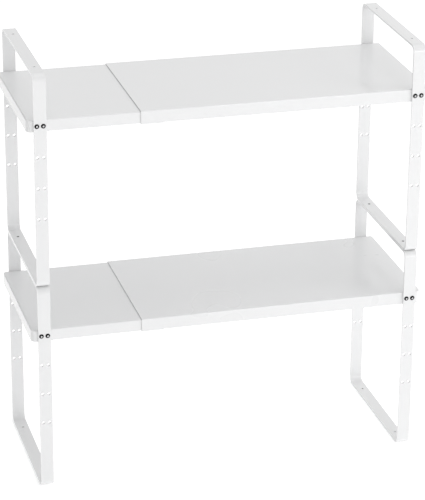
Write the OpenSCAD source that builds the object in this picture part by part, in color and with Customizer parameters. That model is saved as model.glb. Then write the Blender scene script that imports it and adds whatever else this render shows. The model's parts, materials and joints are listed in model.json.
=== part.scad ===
// Two-tier expandable shelf riser: bent strip side frames, telescoping pan shelves.
// Origin at the middle of the footprint on the floor, +Z up, front towards -Y.

/* [Side frames] */
// Distance from the left side frame to the right one, same edge to same edge
frame_pitch = 600; // [560:1:640]
// Depth of a side frame, front face to back face
frame_depth = 250; // [220:1:300]
// Height of one tier's side frame
frame_height = 345; // [320:1:400]
// Width of the strip steel
strip_w = 20; // [18:1:30]
// Thickness of the strip steel
strip_t = 3; // [2:0.5:4]
// Outer radius of the bends
bend_r = 12; // [8:1:18]

/* [Holes] */
// Height of the shelf's screw row above the tier's base
screw_row_z = 264; // [240:1:290]
// Distance between the hole rows of a leg
row_pitch = 50; // [30:1:55]
// Number of hole rows in a leg
row_count = 4; // [2:1:5]
// Distance between the two holes of a row
pair_pitch = 10; // [9:0.5:12]
// Diameter of the leg holes and the top bar holes
hole_d = 5; // [4.6:0.1:5.5]
// Diameter of the tapped holes in the bottom bar
tapped_d = 4.2; // [4.1:0.1:4.5]
// Distance from the frame's front or back face to the bar hole
bar_hole_inset = 40; // [30:1:60]

/* [Shelves] */
// Height of the shelf surface above the tier's base
shelf_z = 274; // [272:1:280]
// Height of the shelf's skirt
skirt_h = 20; // [18:1:24]
// Thickness of the shelf sheet
sheet_t = 1; // [0.8:0.1:1.2]
// How far the shelf stands out past each side frame
overhang = 10; // [6:1:14]
// Radius of the shelf's upright corners
corner_r = 8; // [4:1:10]
// Radius of the shelf's top edge
top_edge_r = 2; // [1.5:0.1:3]
// Length of the outer panel
outer_len = 464; // [420:1:480]
// Length of the inner panel
inner_len = 380; // [340:1:400]
// Length of the inner panel's widened end, which meets the legs
wide_end = 34; // [32:1:40]
// Clearance between the sliding panels
slide_gap = 0.3; // [0.2:0.1:0.5]
// Length of a guide lip
lip_len = 35; // [20:1:40]
// Reach of a guide lip under the inner panel
lip_reach = 8; // [5:1:10]

/* [Fasteners] */
// Diameter of the screw shanks
shank_d = 4; // [3.5:0.1:4]
// Diameter of the screw heads
head_d = 7.6; // [7:0.1:8]
// Height of the screw heads
head_h = 2.2; // [1.8:0.1:2.6]
// Size of the hexagon socket across its corners
socket_d = 2.9; // [2.5:0.1:3]
// Depth of the hexagon socket
socket_depth = 1.3; // [1:0.1:1.5]
// Length of the shelf screws under the head
shelf_screw_len = 9; // [8:0.5:12]
// Size of a nut across its flats
nut_flats = 7; // [6:0.1:8]
// Thickness of a nut
nut_h = 3.2; // [2.5:0.1:3.5]

/* [Hidden] */
$fn = 48;
half_depth = frame_depth / 2;
left_x = -(frame_pitch + strip_w) / 2;
right_x = left_x + frame_pitch;
hole_xs = [strip_w / 2 - pair_pitch / 2, strip_w / 2 + pair_pitch / 2];
bar_hole_y = half_depth - bar_hole_inset;
leg_inner_y = half_depth - strip_t;
panel_left = left_x - overhang;
panel_right = right_x + strip_w + overhang;
seam_x = panel_right - outer_len;
inner_right = panel_left + inner_len;
inner_half_w = leg_inner_y - sheet_t - slide_gap;
inner_top = shelf_z - sheet_t - slide_gap;
skirt_bottom = shelf_z - skirt_h;
inner_bottom = skirt_bottom + slide_gap;
panel_hole_d = shank_d + 0.6;
nut_bore_d = shank_d + 0.2;
steel_white = [0.93, 0.93, 0.92];
oxide_black = [0.08, 0.08, 0.09];
zinc_grey = [0.62, 0.63, 0.65];

// A rectangle w by h from its corner, with arcs of radius r at its corners
module rounded_rect(w, h, r) {
  translate([r, 0]) square([w - 2 * r, h]);
  translate([0, r]) square([w, h - 2 * r]);
  for (x = [r, w - r], y = [r, h - r]) translate([x, y]) circle(r);
}

// Closed loop of strip in the YZ plane, from x = 0 to the strip width
module strip_loop() {
  translate([0, -half_depth, 0]) rotate([90, 0, 90])
    difference() {
      linear_extrude(strip_w) rounded_rect(frame_depth, frame_height, bend_r);
      translate([strip_t, strip_t, -1]) linear_extrude(strip_w + 2)
        rounded_rect(frame_depth - 2 * strip_t, frame_height - 2 * strip_t, bend_r - strip_t);
    }
}

// One side frame with its leg holes and bar holes, base at z = 0
module side_frame(x0, z0) {
  color(steel_white) translate([x0, 0, z0]) difference() {
    strip_loop();
    for (row = [0 : row_count - 1], hx = hole_xs, side = [-1, 1])
      translate([hx, side * (half_depth - strip_t / 2), screw_row_z - row * row_pitch])
        rotate([90, 0, 0]) cylinder(h = strip_t + 2, d = hole_d, center = true);
    for (side = [-1, 1]) translate([strip_w / 2, side * bar_hole_y, 0]) {
      translate([0, 0, -1]) cylinder(h = strip_t + 2, d = tapped_d);
      translate([0, 0, frame_height - strip_t - 1]) cylinder(h = strip_t + 2, d = hole_d);
    }
  }
}

// Solid with a rounded top and rounded upright corners at one end (end = -1 left, 1 right)
module pan_block(x0, x1, half_w, z0, z1, plan_r, edge_r, end) {
  extra = end < 0 ? [0, 30] : [-30, 0];
  intersection() {
    translate([x0 + extra[0], -half_w, z0 - 1]) linear_extrude(z1 - z0 + 1)
      rounded_rect(x1 - x0 + 30, 2 * half_w, plan_r);
    translate([x0, half_w, z0 - edge_r - 1]) rotate([90, 0, 0]) linear_extrude(2 * half_w)
      translate([extra[0], 0]) rounded_rect(x1 - x0 + 30, z1 - z0 + edge_r + 1, edge_r);
    translate([x0, -half_w, z0 - edge_r - 1]) rotate([90, 0, 90]) linear_extrude(x1 - x0)
      rounded_rect(2 * half_w, z1 - z0 + edge_r + 1, edge_r);
    translate([x0, -half_w, z0]) cube([x1 - x0, 2 * half_w, z1 - z0]);
  }
}

// Folded pan, open underneath and open at the end away from `end`
module pan_shell(x0, x1, half_w, z0, z1, end) {
  cut0 = end < 0 ? x0 + sheet_t : x0 - 1;
  cut1 = end < 0 ? x1 + 1 : x1 - sheet_t;
  difference() {
    pan_block(x0, x1, half_w, z0, z1, corner_r, top_edge_r, end);
    pan_block(cut0, cut1, half_w - sheet_t, z0 - 1, z1 - sheet_t,
      corner_r - sheet_t, top_edge_r - sheet_t, end);
  }
}

module screw_holes(x0) {
  for (hx = hole_xs, side = [-1, 1])
    translate([x0 + hx, side * leg_inner_y, screw_row_z])
      rotate([90, 0, 0]) cylinder(h = 8, d = panel_hole_d, center = true);
}

// Outer panel, with a folded lip under each skirt at the seam
module outer_panel(z0) {
  color(steel_white) translate([0, 0, z0]) difference() {
    union() {
      pan_shell(seam_x, panel_right, leg_inner_y, skirt_bottom, shelf_z, 1);
      for (side = [0, 1]) mirror([0, side, 0]) {
        translate([seam_x, -leg_inner_y, skirt_bottom - sheet_t])
          cube([lip_len, sheet_t, sheet_t + 2]);
        translate([seam_x, -leg_inner_y, skirt_bottom - sheet_t])
          cube([lip_len, lip_reach, sheet_t]);
      }
    }
    screw_holes(right_x);
  }
}

// Inner panel: a narrow sliding length and a widened end that meets the legs
module inner_panel(z0) {
  color(steel_white) translate([0, 0, z0]) difference() {
    union() {
      pan_block(panel_left, panel_left + wide_end, leg_inner_y, inner_bottom, inner_top,
        corner_r, top_edge_r, -1);
      pan_block(panel_left + 10, inner_right, inner_half_w, inner_bottom, inner_top,
        corner_r, top_edge_r, -1);
    }
    pan_block(panel_left + sheet_t, panel_left + wide_end - sheet_t, leg_inner_y - sheet_t,
      inner_bottom - 1, inner_top - sheet_t, corner_r - sheet_t, top_edge_r - sheet_t, -1);
    pan_block(panel_left + 10, inner_right + 1, inner_half_w - sheet_t,
      inner_bottom - 1, inner_top - sheet_t, corner_r - sheet_t, top_edge_r - sheet_t, -1);
    screw_holes(left_x);
  }
}

// Button-head screw: head from z = 0 up, shank down
module button_screw(len) {
  sphere_r = (head_d * head_d / 4 + head_h * head_h) / (2 * head_h);
  difference() {
    union() {
      intersection() {
        translate([0, 0, head_h - sphere_r]) sphere(sphere_r);
        cylinder(h = head_h, d = head_d);
      }
      translate([0, 0, -len]) cylinder(h = len + 0.5, d = shank_d);
    }
    translate([0, 0, head_h - socket_depth]) cylinder(h = 3, d = socket_d, $fn = 6);
  }
}

module hex_nut() {
  difference() {
    cylinder(h = nut_h, d = nut_flats / cos(30), $fn = 6);
    translate([0, 0, -1]) cylinder(h = nut_h + 2, d = nut_bore_d);
  }
}

// side = -1 front leg, 1 back leg
module shelf_screws(x0, side, z0) {
  color(oxide_black) for (hx = hole_xs)
    translate([x0 + hx, side * half_depth, z0 + screw_row_z])
      rotate([side < 0 ? 90 : -90, 0, 0]) button_screw(shelf_screw_len);
}

module shelf_nuts(x0, side, z0) {
  color(zinc_grey) for (hx = hole_xs)
    translate([x0 + hx, side * (leg_inner_y - sheet_t), z0 + screw_row_z])
      rotate([side < 0 ? -90 : 90, 0, 0]) hex_nut();
}

// Head under the lower tier's top bar, end flush in the upper tier's bottom bar
module stacking_screws(x0) {
  color(oxide_black) for (side = [-1, 1])
    translate([x0 + strip_w / 2, side * bar_hole_y, frame_height - strip_t])
      rotate([180, 0, 0]) button_screw(2 * strip_t);
}

upper = frame_height;
side_frame(left_x, 0);  // lower_left_frame
side_frame(right_x, 0);  // lower_right_frame
outer_panel(0);  // lower_outer_panel
inner_panel(0);  // lower_inner_panel
shelf_screws(left_x, -1, 0);  // lower_front_left_screws
shelf_screws(left_x, 1, 0);  // lower_back_left_screws
shelf_screws(right_x, -1, 0);  // lower_front_right_screws
shelf_screws(right_x, 1, 0);  // lower_back_right_screws
shelf_nuts(left_x, -1, 0);  // lower_front_left_nuts
shelf_nuts(left_x, 1, 0);  // lower_back_left_nuts
shelf_nuts(right_x, -1, 0);  // lower_front_right_nuts
shelf_nuts(right_x, 1, 0);  // lower_back_right_nuts
side_frame(left_x, upper);  // upper_left_frame
side_frame(right_x, upper);  // upper_right_frame
outer_panel(upper);  // upper_outer_panel
inner_panel(upper);  // upper_inner_panel
shelf_screws(left_x, -1, upper);  // upper_front_left_screws
shelf_screws(left_x, 1, upper);  // upper_back_left_screws
shelf_screws(right_x, -1, upper);  // upper_front_right_screws
shelf_screws(right_x, 1, upper);  // upper_back_right_screws
shelf_nuts(left_x, -1, upper);  // upper_front_left_nuts
shelf_nuts(left_x, 1, upper);  // upper_back_left_nuts
shelf_nuts(right_x, -1, upper);  // upper_front_right_nuts
shelf_nuts(right_x, 1, upper);  // upper_back_right_nuts
stacking_screws(left_x);  // left_stacking_screws
stacking_screws(right_x);  // right_stacking_screws
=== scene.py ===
import json
import math

import bmesh
import bpy
from mathutils import Matrix, Vector


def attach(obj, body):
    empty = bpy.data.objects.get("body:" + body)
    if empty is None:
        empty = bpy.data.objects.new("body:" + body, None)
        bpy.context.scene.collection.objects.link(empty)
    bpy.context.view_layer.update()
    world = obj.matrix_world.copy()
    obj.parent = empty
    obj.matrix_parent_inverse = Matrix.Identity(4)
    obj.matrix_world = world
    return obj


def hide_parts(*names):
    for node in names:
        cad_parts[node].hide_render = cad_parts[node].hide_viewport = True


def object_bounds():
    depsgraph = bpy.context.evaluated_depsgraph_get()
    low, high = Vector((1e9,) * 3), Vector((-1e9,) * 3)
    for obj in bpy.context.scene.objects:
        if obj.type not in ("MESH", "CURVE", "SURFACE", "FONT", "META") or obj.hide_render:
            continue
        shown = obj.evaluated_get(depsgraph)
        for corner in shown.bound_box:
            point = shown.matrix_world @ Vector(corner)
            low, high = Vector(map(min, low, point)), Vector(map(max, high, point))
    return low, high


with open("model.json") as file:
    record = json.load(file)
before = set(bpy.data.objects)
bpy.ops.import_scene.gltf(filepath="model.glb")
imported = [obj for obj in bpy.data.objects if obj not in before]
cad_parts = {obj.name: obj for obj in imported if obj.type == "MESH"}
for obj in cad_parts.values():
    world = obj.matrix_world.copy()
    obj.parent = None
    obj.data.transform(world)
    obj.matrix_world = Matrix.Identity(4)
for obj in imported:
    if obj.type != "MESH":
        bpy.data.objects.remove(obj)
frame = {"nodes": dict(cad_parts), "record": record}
cadLow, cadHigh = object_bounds()
bodies = frame["record"]["behaviour"]["bodies"]
bodyOf = {node: body for body, nodes in bodies.items() for node in nodes}
mm = 0.001
print("frame loaded:", len(bodyOf), "nodes")


# small helpers for shader nodes
def newMaterial(name):
    mat = bpy.data.materials.new(name)
    mat.use_nodes = True
    tree = mat.node_tree
    return mat, tree, tree.nodes["Principled BSDF"]


def addNode(tree, kind, **values):
    node = tree.nodes.new(kind)
    for key, value in values.items():
        setattr(node, key, value)
    return node


def noise(tree, scale, detail):
    where = addNode(tree, "ShaderNodeTexCoord")
    tex = addNode(tree, "ShaderNodeTexNoise")
    tex.inputs["Scale"].default_value = scale
    tex.inputs["Detail"].default_value = detail
    tree.links.new(where.outputs["Object"], tex.inputs["Vector"])
    return tex.outputs["Fac"]


def spread(tree, source, fromLow, fromHigh, toLow, toHigh):
    node = addNode(tree, "ShaderNodeMapRange", interpolation_type="SMOOTHSTEP")
    for name, value in (("From Min", fromLow), ("From Max", fromHigh),
                        ("To Min", toLow), ("To Max", toHigh)):
        node.inputs[name].default_value = value
    tree.links.new(source, node.inputs["Value"])
    return node.outputs["Result"]


def mixColors(tree, factor, first, second):
    node = addNode(tree, "ShaderNodeMix", data_type="RGBA")
    tree.links.new(factor, node.inputs["Factor"])
    for socket, value in ((node.inputs[6], first), (node.inputs[7], second)):
        if hasattr(value, "is_linked"):
            tree.links.new(value, socket)
        else:
            socket.default_value = (*value, 1.0)
    return node.outputs[2]


def bump(tree, height, strength, distance, below=None):
    node = addNode(tree, "ShaderNodeBump")
    node.inputs["Strength"].default_value = strength
    node.inputs["Distance"].default_value = distance
    tree.links.new(height, node.inputs["Height"])
    if below is not None:
        tree.links.new(below, node.inputs["Normal"])
    return node.outputs["Normal"]


# white powder coat: cured gloss with orange peel, fine grain and painted shade darkening the
# corners
powderCoat = {
    "color": (0.780, 0.782, 0.785),
    "tint": (0.768, 0.771, 0.776), "tintScale": 7.0,
    # painted shade: the colour that corners and crevices darken to, and how much of it
    "dust": (0.62, 0.62, 0.61), "dustMost": 0.35,
    "cornerReach": 0.005, "cornerShut": 0.35, "cornerOpen": 0.8,
    "roughLow": 0.26, "roughHigh": 0.32, "roughScale": 5.0,
    "peelScale": 520.0, "peelHeight": 0.00003, "peelStrength": 0.3,
    "grainScale": 2600.0, "grainHeight": 0.000006, "grainStrength": 0.3,
    "clearCoat": 0.8, "clearCoatRough": 0.09,
    "refraction": 1.5,
}


def makePowderCoat():
    coat = powderCoat
    mat, tree, shader = newMaterial("whitePowderCoat")
    mottle = spread(tree, noise(tree, coat["tintScale"], 2.0), 0.0, 1.0, 0.0, 1.0)
    paint = mixColors(tree, mottle, coat["color"], coat["tint"])
    # painted shade: ambient occlusion darkens the paint in corners and crevices, where shade
    # falls
    corner = addNode(tree, "ShaderNodeAmbientOcclusion", samples=4)
    corner.inputs["Distance"].default_value = coat["cornerReach"]
    paintedShadeMask = spread(tree, corner.outputs["AO"], coat["cornerShut"], coat["cornerOpen"],
                     coat["dustMost"], 0.0)
    tree.links.new(mixColors(tree, paintedShadeMask, paint, coat["dust"]), shader.inputs["Base Color"])
    sheen = spread(tree, noise(tree, coat["roughScale"], 2.0), 0.0, 1.0,
                   coat["roughLow"], coat["roughHigh"])
    tree.links.new(sheen, shader.inputs["Roughness"])
    peel = bump(tree, noise(tree, coat["peelScale"], 1.0), coat["peelStrength"],
                coat["peelHeight"])
    grain = bump(tree, noise(tree, coat["grainScale"], 2.0), coat["grainStrength"],
                 coat["grainHeight"], peel)
    tree.links.new(grain, shader.inputs["Normal"])
    shader.inputs["IOR"].default_value = coat["refraction"]
    shader.inputs["Coat Weight"].default_value = coat["clearCoat"]
    shader.inputs["Coat Roughness"].default_value = coat["clearCoatRough"]
    return mat


# black oxide on the button-head screws, rubbed a little by the key
blackOxide = {
    "color": (0.008, 0.008, 0.009), "worn": (0.05, 0.05, 0.052),
    "wearScale": 900.0, "wearFrom": 0.52, "wearTo": 0.75,
    "roughScale": 1500.0, "roughLow": 0.26, "roughHigh": 0.42,
    "grainScale": 3000.0, "metal": 0.7,
}
# painted highlight: a bright steel colour in the screw sockets stands in for the glint at each
# head's centre
bareSteel = {
    "color": (0.80, 0.80, 0.81), "worn": (0.55, 0.55, 0.56),
    "wearScale": 1200.0, "wearFrom": 0.45, "wearTo": 0.7,
    "roughScale": 2000.0, "roughLow": 0.24, "roughHigh": 0.4,
    "grainScale": 4000.0, "metal": 1.0,
}
# bright zinc plate on the nuts
zincPlate = {
    "color": (0.62, 0.63, 0.65), "worn": (0.45, 0.46, 0.49),
    "wearScale": 350.0, "wearFrom": 0.4, "wearTo": 0.7,
    "roughScale": 700.0, "roughLow": 0.22, "roughHigh": 0.4,
    "grainScale": 2600.0, "metal": 1.0,
}
# how far the roughness noise spreads, and the grain that all three have
metalGrain = {"from": 0.3, "to": 0.7, "strength": 0.4, "height": 0.00001}


def makeMetal(name, metal):
    mat, tree, shader = newMaterial(name)
    wear = spread(tree, noise(tree, metal["wearScale"], 4.0),
                  metal["wearFrom"], metal["wearTo"], 0.0, 1.0)
    tree.links.new(mixColors(tree, wear, metal["color"], metal["worn"]),
                   shader.inputs["Base Color"])
    rough = spread(tree, noise(tree, metal["roughScale"], 3.0),
                   metalGrain["from"], metalGrain["to"], metal["roughLow"], metal["roughHigh"])
    tree.links.new(rough, shader.inputs["Roughness"])
    grain = bump(tree, noise(tree, metal["grainScale"], 2.0),
                 metalGrain["strength"], metalGrain["height"])
    tree.links.new(grain, shader.inputs["Normal"])
    shader.inputs["Metallic"].default_value = metal["metal"]
    return mat


# the floor that the riser stands on, lit like a backlit sweep
floorPaper = {"color": (0.96, 0.96, 0.96), "fibre": (0.98, 0.98, 0.98), "fibreScale": 60.0,
              "rough": 0.9, "glow": 0.31}


def makeFloorPaper():
    mat, tree, shader = newMaterial("floorPaper")
    fibre = spread(tree, noise(tree, floorPaper["fibreScale"], 5.0), 0.3, 0.7, 0.0, 1.0)
    tree.links.new(mixColors(tree, fibre, floorPaper["color"], floorPaper["fibre"]),
                   shader.inputs["Base Color"])
    shader.inputs["Roughness"].default_value = floorPaper["rough"]
    shader.inputs["Emission Color"].default_value = (1.0, 1.0, 1.0, 1.0)
    shader.inputs["Emission Strength"].default_value = floorPaper["glow"]
    return mat


finishes = {
    "white_powder_coat": makePowderCoat(),
    "black_oxide": makeMetal("blackOxide", blackOxide),
    "zinc_plate": makeMetal("zincPlate", zincPlate),
}
# painted highlight material for the screw sockets
socketHighlight = makeMetal("bareSteel", bareSteel)
slotOf = {part["node"]: part["material_slot"] for part in frame["record"]["subparts"]}
print("materials made:", len(finishes))


# what each kind of piece has along its sheared and formed edges, in millimetres
edgeRadii = {"frame": 0.4, "panel": 0.28, "screws": 0.14, "nuts": 0.3}
# the weld gap in millimetres, and in degrees what counts as flat and as an edge
easing = {"weldGap": 0.002, "flatAngle": 0.2, "edgeAngle": 35.0, "segments": 3, "areaWeight": 80}


def camel(node):
    words = node.split("_")
    return words[0] + "".join(word.capitalize() for word in words[1:])


# the socket's floor and walls, found by their distance from each screw's axis, take the painted
# highlight
socket = {"radius": 1.42, "deepest": 1.6}


def paintSocketHighlights(mesh, node):
    mesh.materials.append(socketHighlight)
    spots = [Vector(v.co) for v in mesh.vertices]
    low = Vector([min(spot[i] for spot in spots) for i in range(3)])
    high = Vector([max(spot[i] for spot in spots) for i in range(3)])
    across = max(range(3), key=lambda i: high[i] - low[i])
    standing = across == 1
    along = 2 if standing else 1
    side = 0 if standing else 2
    headR = (high[side] - low[side]) / 2
    centres = [low[across] + headR, high[across] - headR]
    middle = (low[side] + high[side]) / 2
    # shelf screws point away from the frame, stacking screws have their heads underneath
    outward = -1 if standing or "front" in node else 1
    tip = high[along] if outward > 0 else low[along]
    for face in mesh.polygons:
        spot = face.center
        depth = (tip - spot[along]) * outward
        gap = min(math.hypot(spot[across] - c, spot[side] - middle) for c in centres)
        # painted highlight: the socket faces get the bright steel colour
        face.material_index = int(gap < socket["radius"] * mm and depth < socket["deepest"] * mm)


# a copy of the shape with eased edges stands for the sharp one
def easeEdges(node, radius):
    mesh = frame["nodes"][node].data.copy()
    work = bmesh.new()
    work.from_mesh(mesh)
    weldGap = easing["weldGap"] * mm
    bmesh.ops.remove_doubles(work, verts=work.verts, dist=weldGap)
    bmesh.ops.dissolve_degenerate(work, edges=work.edges, dist=weldGap)
    bmesh.ops.dissolve_limit(work, angle_limit=math.radians(easing["flatAngle"]),
                             verts=work.verts, edges=work.edges)
    for face in work.faces:
        face.smooth = True
    work.to_mesh(mesh)
    work.free()
    piece = bpy.data.objects.new(camel(node), mesh)
    bpy.context.scene.collection.objects.link(piece)
    bevel = piece.modifiers.new("easedEdges", "BEVEL")
    bevel.width = radius * mm
    bevel.segments = easing["segments"]
    bevel.limit_method = "ANGLE"
    bevel.angle_limit = math.radians(easing["edgeAngle"])
    bevel.use_clamp_overlap = True
    shade = piece.modifiers.new("evenShading", "WEIGHTED_NORMAL")
    shade.keep_sharp = False
    shade.weight = easing["areaWeight"]
    piece.data.materials.clear()
    piece.data.materials.append(finishes[slotOf[node]])
    if node.endswith("screws"):
        paintSocketHighlights(piece.data, node)
    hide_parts(node)
    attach(piece, bodyOf[node])


for node in bodyOf:
    easeEdges(node, edgeRadii[node.split("_")[-1]])
print("pieces made:", len(bodyOf))


# floor and studio
studio = {
    "floorSize": 24.0,
    "worldStrength": 1.08,
    "leftToRight": (0.48, 1.06), "sideReach": 0.8,
    "horizonToZenith": (0.96, 0.84),
    "key": {"at": (0.95, -2.9, 1.15), "size": 0.8, "power": 9.0},
    "side": {"at": (2.0, -1.1, 1.5), "size": 1.2, "power": 9.0},
    "top": {"at": (0.1, 0.2, 3.0), "size": 2.6, "power": 10.0},
}


def makeFloor():
    half = studio["floorSize"] / 2
    mesh = bpy.data.meshes.new("floor")
    low = cadLow.z
    corners = [(-half, -half, low), (half, -half, low), (half, half, low), (-half, half, low)]
    mesh.from_pydata(corners, [], [(0, 1, 2, 3)])
    floor = bpy.data.objects.new("floor", mesh)
    bpy.context.scene.collection.objects.link(floor)
    floor.data.materials.append(makeFloorPaper())


def makeLight(name, at, size, power):
    data = bpy.data.lights.new(name, "AREA")
    data.shape = "DISK"
    data.size = size
    data.energy = power
    lamp = bpy.data.objects.new(name, data)
    lamp.location = at
    aim = (cadLow + cadHigh) / 2 - Vector(at)
    lamp.rotation_euler = aim.to_track_quat("-Z", "Y").to_euler()
    bpy.context.scene.collection.objects.link(lamp)


def makeWorld():
    world = bpy.data.worlds.new("studio")
    world.use_nodes = True
    tree = world.node_tree
    back = tree.nodes["Background"]
    back.inputs["Color"].default_value = (1.0, 1.0, 1.0, 1.0)
    where = addNode(tree, "ShaderNodeTexCoord")
    axes = addNode(tree, "ShaderNodeSeparateXYZ")
    tree.links.new(where.outputs["Generated"], axes.inputs["Vector"])
    sideways = spread(tree, axes.outputs["X"], -studio["sideReach"], studio["sideReach"],
                      *studio["leftToRight"])
    upward = spread(tree, axes.outputs["Z"], 0.0, 1.0, *studio["horizonToZenith"])
    product = addNode(tree, "ShaderNodeMath", operation="MULTIPLY")
    tree.links.new(sideways, product.inputs[0])
    tree.links.new(upward, product.inputs[1])
    level = addNode(tree, "ShaderNodeMath", operation="MULTIPLY")
    level.inputs[1].default_value = studio["worldStrength"]
    tree.links.new(product.outputs[0], level.inputs[0])
    # the camera itself sees plain white beyond the floor
    seen = addNode(tree, "ShaderNodeLightPath")
    shown = addNode(tree, "ShaderNodeMath", operation="MAXIMUM")
    tree.links.new(level.outputs[0], shown.inputs[0])
    tree.links.new(seen.outputs["Is Camera Ray"], shown.inputs[1])
    tree.links.new(shown.outputs[0], back.inputs["Strength"])
    bpy.context.scene.world = world


makeFloor()
makeWorld()
for lampName in ("key", "side", "top"):
    makeLight(lampName, **studio[lampName])
bpy.context.scene.view_settings.view_transform = "Standard"
print("studio made")


# camera: angles in degrees, distance and offset in metres
cameraView = {"azimuth": -15.41, "elevation": 22.5, "roll": 0.51, "distance": 3.7535,
              "aimOffset": (0.0037, 0.0, -0.017), "lens": 166.5, "sensor": 36.0}


def makeCamera():
    turn, lift = math.radians(cameraView["azimuth"]), math.radians(cameraView["elevation"])
    back = Vector((math.sin(turn) * math.cos(lift), -math.cos(turn) * math.cos(lift),
                   math.sin(lift)))
    right = (-back).cross(Vector((0, 0, 1))).normalized()
    up = right.cross(-back)
    roll = math.radians(cameraView["roll"])
    xAxis = right * math.cos(roll) + up * math.sin(roll)
    yAxis = up * math.cos(roll) - right * math.sin(roll)
    data = bpy.data.cameras.new("camera")
    data.lens = cameraView["lens"]
    data.sensor_width = cameraView["sensor"]
    cam = bpy.data.objects.new("camera", data)
    aim = (cadLow + cadHigh) / 2 + Vector(cameraView["aimOffset"])
    pose = Matrix((xAxis, yAxis, back)).transposed().to_4x4()
    pose.translation = aim + back * cameraView["distance"]
    cam.matrix_world = pose
    bpy.context.scene.collection.objects.link(cam)
    bpy.context.scene.camera = cam


makeCamera()
print("camera made")
